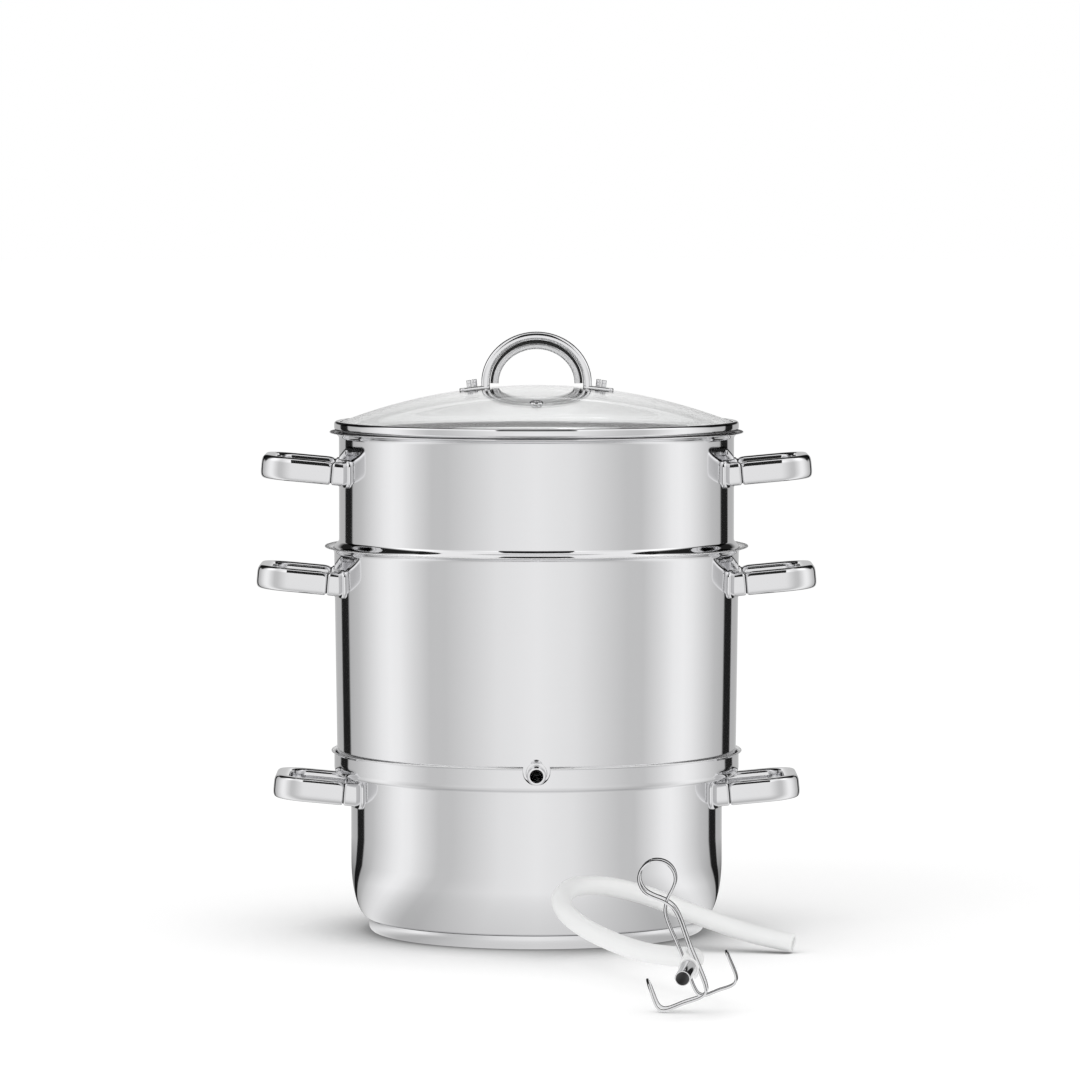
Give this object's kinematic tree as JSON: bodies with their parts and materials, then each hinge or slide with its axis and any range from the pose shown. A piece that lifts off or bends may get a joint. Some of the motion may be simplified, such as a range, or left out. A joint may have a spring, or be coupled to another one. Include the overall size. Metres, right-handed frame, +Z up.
{
  "type": "steam juicer",
  "caption": "Steam juicer: stacked steel water pot, juice collector with centre cone and outlet spigot, sieve basket and domed glass lid, with outlet hose, nozzle and spring clamp.",
  "frame": {"origin": "middle of the water pot's underside, on the hob", "axes": "+Z up along the stack, -Y to the front where the outlet spigot and the hose are, +X to the right-hand handles"},
  "size_m": [0.3594, 0.5803, 0.3863],
  "materials": {
    "polished_steel": "mirror polished stainless steel",
    "satin_steel": "satin stainless steel",
    "core_aluminium": "plain",
    "spring_wire": "bright spring wire",
    "clear_glass": "clear tempered glass",
    "white_silicone": "translucent white silicone"
  },
  "bodies": {
    "water_pot": {"pot_shell": "polished_steel", "plate_cap": "satin_steel", "plate_core": "core_aluminium", "pot_handle_right": "polished_steel", "pot_handle_left": "polished_steel"},
    "juice_collector": {"collector_shell": "polished_steel", "steam_cone": "satin_steel", "outlet_spigot": "satin_steel", "collector_handle_right": "polished_steel", "collector_handle_left": "polished_steel"},
    "fruit_basket": {"basket_shell": "satin_steel", "basket_handle_right": "polished_steel", "basket_handle_left": "polished_steel"},
    "lid": {"lid_band": "polished_steel", "lid_glass": "clear_glass", "lid_vent": "satin_steel", "lid_handle_strap": "polished_steel", "lid_handle_liner": "satin_steel", "lid_backing_left": "satin_steel", "lid_backing_right": "satin_steel", "lid_left_stud_1": "polished_steel", "lid_left_stud_2": "polished_steel", "lid_right_stud_1": "polished_steel", "lid_right_stud_2": "polished_steel"},
    "outlet_hose": {"hose": "white_silicone", "hose_nozzle": "polished_steel"},
    "clamp_left": {"clamp_wire_left": "spring_wire"},
    "clamp_right": {"clamp_wire_right": "spring_wire"}
  },
  "joints": [
    {"name": "collector_lift", "type": "slide", "parent": "water_pot", "child": "juice_collector", "axis": [0, 0, 1], "range_m": [0, 0.0325]},
    {"name": "basket_lift", "type": "slide", "parent": "juice_collector", "child": "fruit_basket", "axis": [0, 0, 1], "range_m": [0, 0.104]},
    {"name": "lid_lift", "type": "slide", "parent": "fruit_basket", "child": "lid", "axis": [0, 0, 1], "range_m": [0, 0.0353]},
    {"name": "hose_pull", "type": "slide", "parent": "water_pot", "child": "outlet_hose", "axis": [0, -1, 0], "range_m": [0, 0.06]},
    {"name": "clamp_squeeze", "type": "hinge", "parent": "outlet_hose", "child": "clamp_left", "pos_m": [0.06649, -0.40094, 0.08886], "axis": [-0.1388, -0.9879, -0.0698], "range_deg": [0, 5], "stiffness_Nm_per_rad": 0.05},
    {"name": "clamp_squeeze_right", "type": "hinge", "parent": "outlet_hose", "child": "clamp_right", "pos_m": [0.06649, -0.40094, 0.08886], "axis": [0.1388, 0.9879, 0.0698], "range_deg": [0, 5], "stiffness_Nm_per_rad": 0.05}
  ],
  "couplings": [
    {"joint": "clamp_squeeze_right", "follows": "clamp_squeeze", "ratio": 1}
  ]
}
